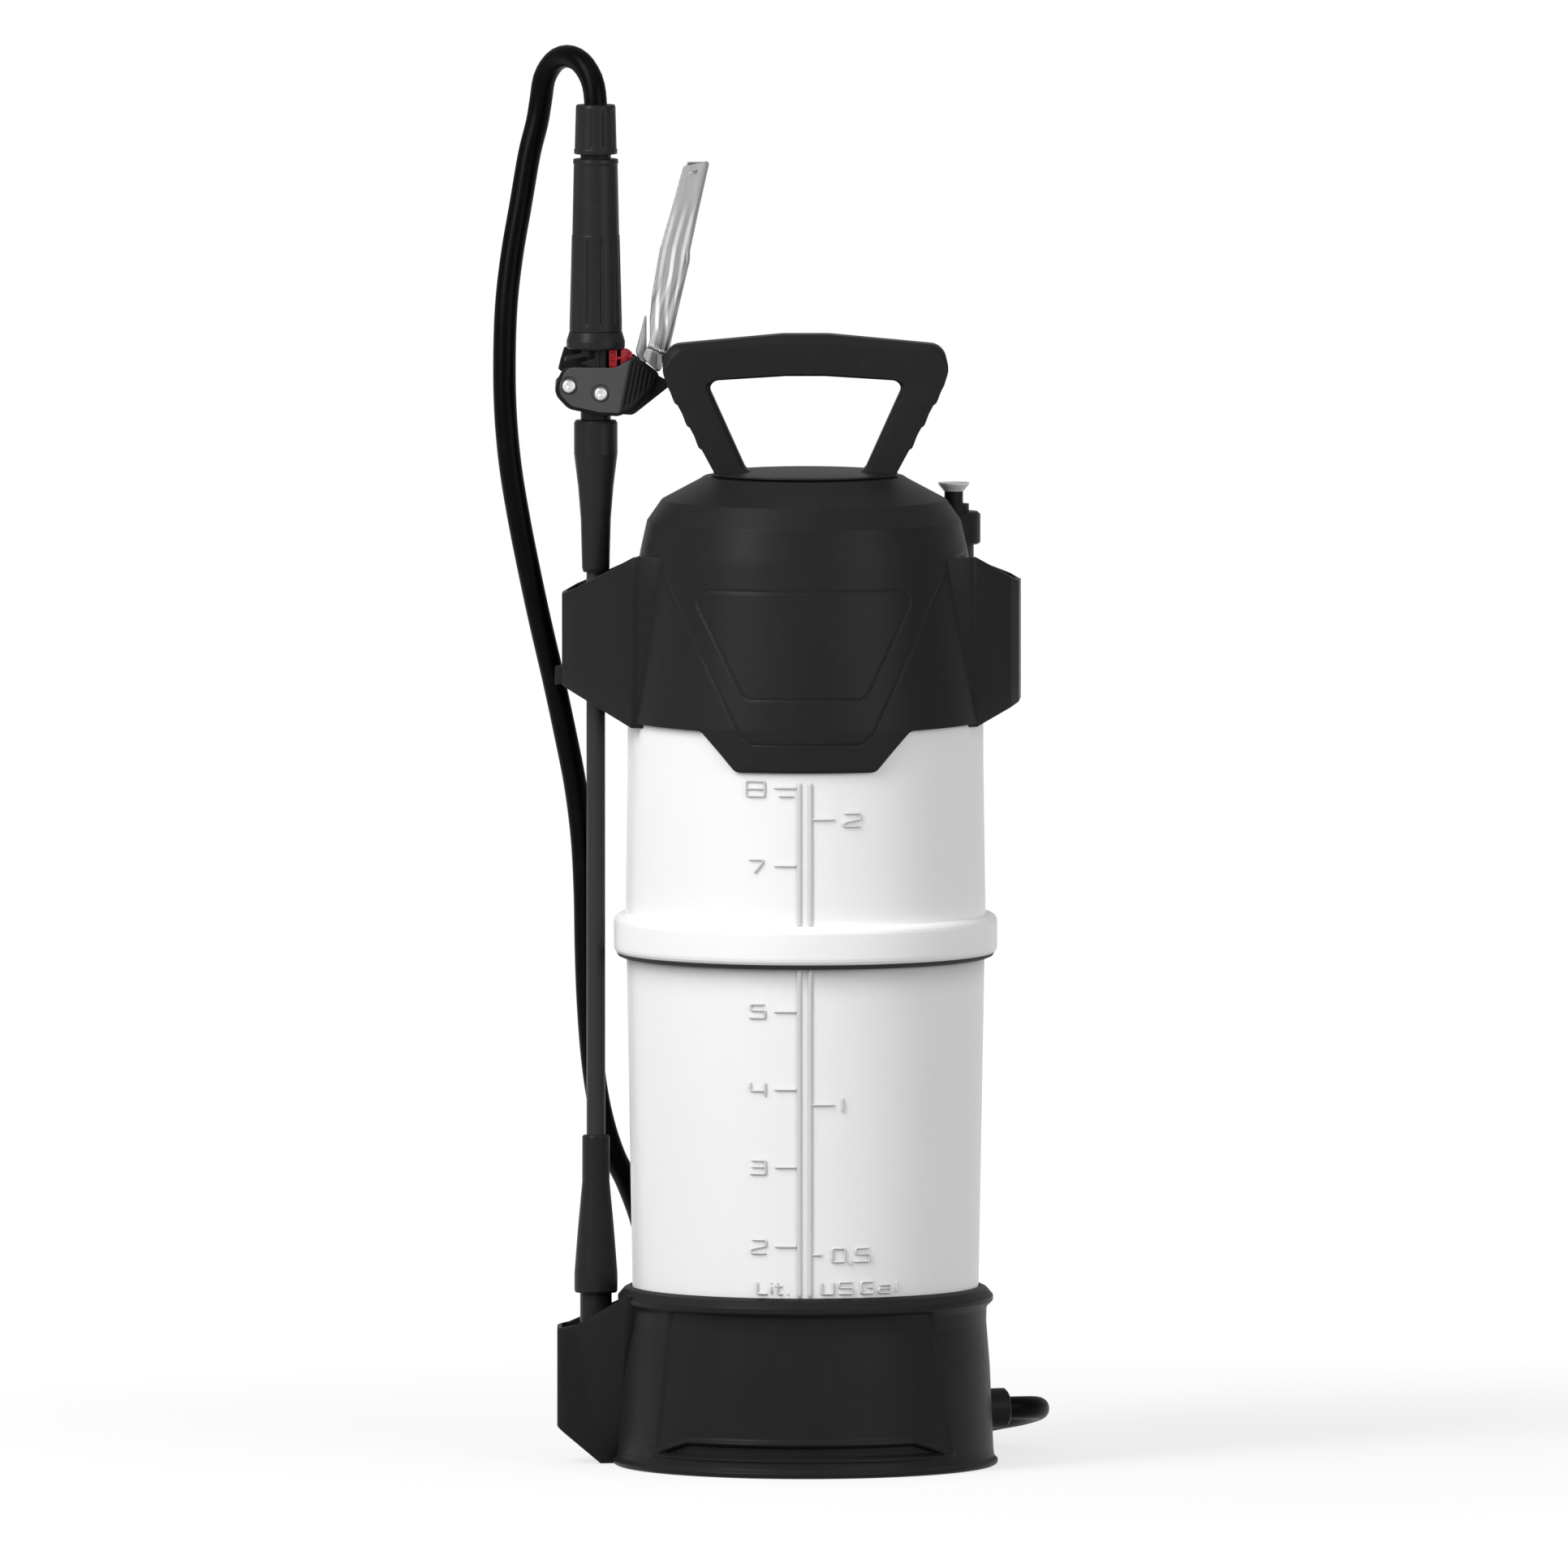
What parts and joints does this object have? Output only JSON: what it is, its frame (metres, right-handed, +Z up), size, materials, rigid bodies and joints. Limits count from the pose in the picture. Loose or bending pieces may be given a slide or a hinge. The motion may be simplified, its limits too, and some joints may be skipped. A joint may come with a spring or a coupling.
{
  "type": "compression sprayer",
  "caption": "Upright hand-pumped pressure sprayer: translucent cylinder tank, black base and shoulder cover, D-handle pump, hose and a lance with squeeze lever clipped at its side.",
  "frame": {"origin": "tank axis at floor level, on the underside of the base", "axes": "+Z up along the tank axis, -Y is the front with the contents scale, the lance stands on the -X side"},
  "size_m": [0.291, 0.2398, 0.7418],
  "materials": {
    "black_plastic": "satin moulded",
    "grip_plastic": "satin moulded",
    "tank_plastic": "translucent white, satin",
    "white_plastic": "satin",
    "natural_plastic": "natural",
    "grey_plastic": "satin moulded",
    "red_plastic": "gloss",
    "lever_metal": "polished",
    "rivet_metal": "plated",
    "steel": "bright",
    "brass": "turned",
    "rubber": "matte",
    "hose_rubber": "smooth satin"
  },
  "bodies": {
    "tank": {"base_foot": "black_plastic", "tank_lower": "tank_plastic", "tank_upper": "tank_plastic", "shroud": "black_plastic", "outlet_fitting": "black_plastic", "outlet_seal": "rubber", "outlet_nut": "black_plastic", "relief_body": "black_plastic", "relief_nut": "black_plastic", "relief_spring": "steel", "hose": "hose_rubber"},
    "pump_unit": {"pump_cap": "black_plastic", "pump_gasket": "rubber", "pump_barrel": "natural_plastic", "rod_guide": "natural_plastic", "barrel_foot": "natural_plastic", "check_valve": "rubber"},
    "plunger": {"pump_handle": "black_plastic", "pump_rod": "steel", "rod_pin": "steel", "piston": "natural_plastic", "piston_seal": "rubber", "piston_nut": "steel"},
    "relief_knob": {"relief_stem": "black_plastic", "relief_cap": "white_plastic", "relief_seal": "rubber"},
    "lance": {"hose_nut": "grip_plastic", "hose_tail": "black_plastic", "grip": "grip_plastic", "grip_filter": "natural_plastic", "valve_block": "black_plastic", "valve_spring": "steel", "front_nut": "grip_plastic", "tube_seal": "rubber", "lance_tube": "grip_plastic", "nozzle_sleeve": "grip_plastic"},
    "nozzle": {"nozzle_tip": "grip_plastic", "spray_core": "natural_plastic", "nozzle_seal": "rubber"},
    "trigger": {"trigger_yoke": "grey_plastic", "trigger_lever": "lever_metal", "pivot_rivet": "rivet_metal", "link_rivet": "rivet_metal"},
    "stem": {"valve_stem": "brass", "valve_seal": "rubber"},
    "lock": {"lock_catch": "red_plastic"}
  },
  "joints": [
    {"name": "pump_turn", "type": "hinge", "parent": "tank", "child": "pump_unit", "pos_m": [0, 0, 0.5], "axis": [0, 0, 1], "range_deg": [0, 120]},
    {"name": "pump_stroke", "type": "slide", "parent": "pump_unit", "child": "plunger", "axis": [0, 0, 1], "range_m": [0, 0.2]},
    {"name": "relief_pull", "type": "slide", "parent": "tank", "child": "relief_knob", "axis": [0, 0, 1], "range_m": [0, 0.003], "stiffness_N_per_m": 900, "springref_m": -0.002, "deforming": ["relief_spring"]},
    {"name": "lance_lift", "type": "slide", "parent": "tank", "child": "lance", "axis": [0, 0, 1], "range_m": [0, 0.06], "deforming": ["hose"]},
    {"name": "nozzle_turn", "type": "hinge", "parent": "lance", "child": "nozzle", "pos_m": [-0.1097, 0.013, 0.09], "axis": [0, 0, 1], "range_deg": [0, 270]},
    {"name": "trigger_squeeze", "type": "hinge", "parent": "lance", "child": "trigger", "pos_m": [-0.12574, 0.01074, 0.5654], "axis": [0.1392, -0.9903, 0], "range_deg": [0, 14], "stiffness_Nm_per_rad": 1.2, "springref_deg": -4.58},
    {"name": "valve_lift", "type": "slide", "parent": "lance", "child": "stem", "axis": [0, 0, 1], "range_m": [0, 0.0043], "deforming": ["valve_spring"]},
    {"name": "lock_slide", "type": "slide", "parent": "lance", "child": "lock", "axis": [-0.9903, -0.1392, 0], "range_m": [0, 0.003]}
  ],
  "couplings": [
    {"joint": "valve_lift", "follows": "trigger_squeeze", "m_per_rad": 0.01715}
  ]
}
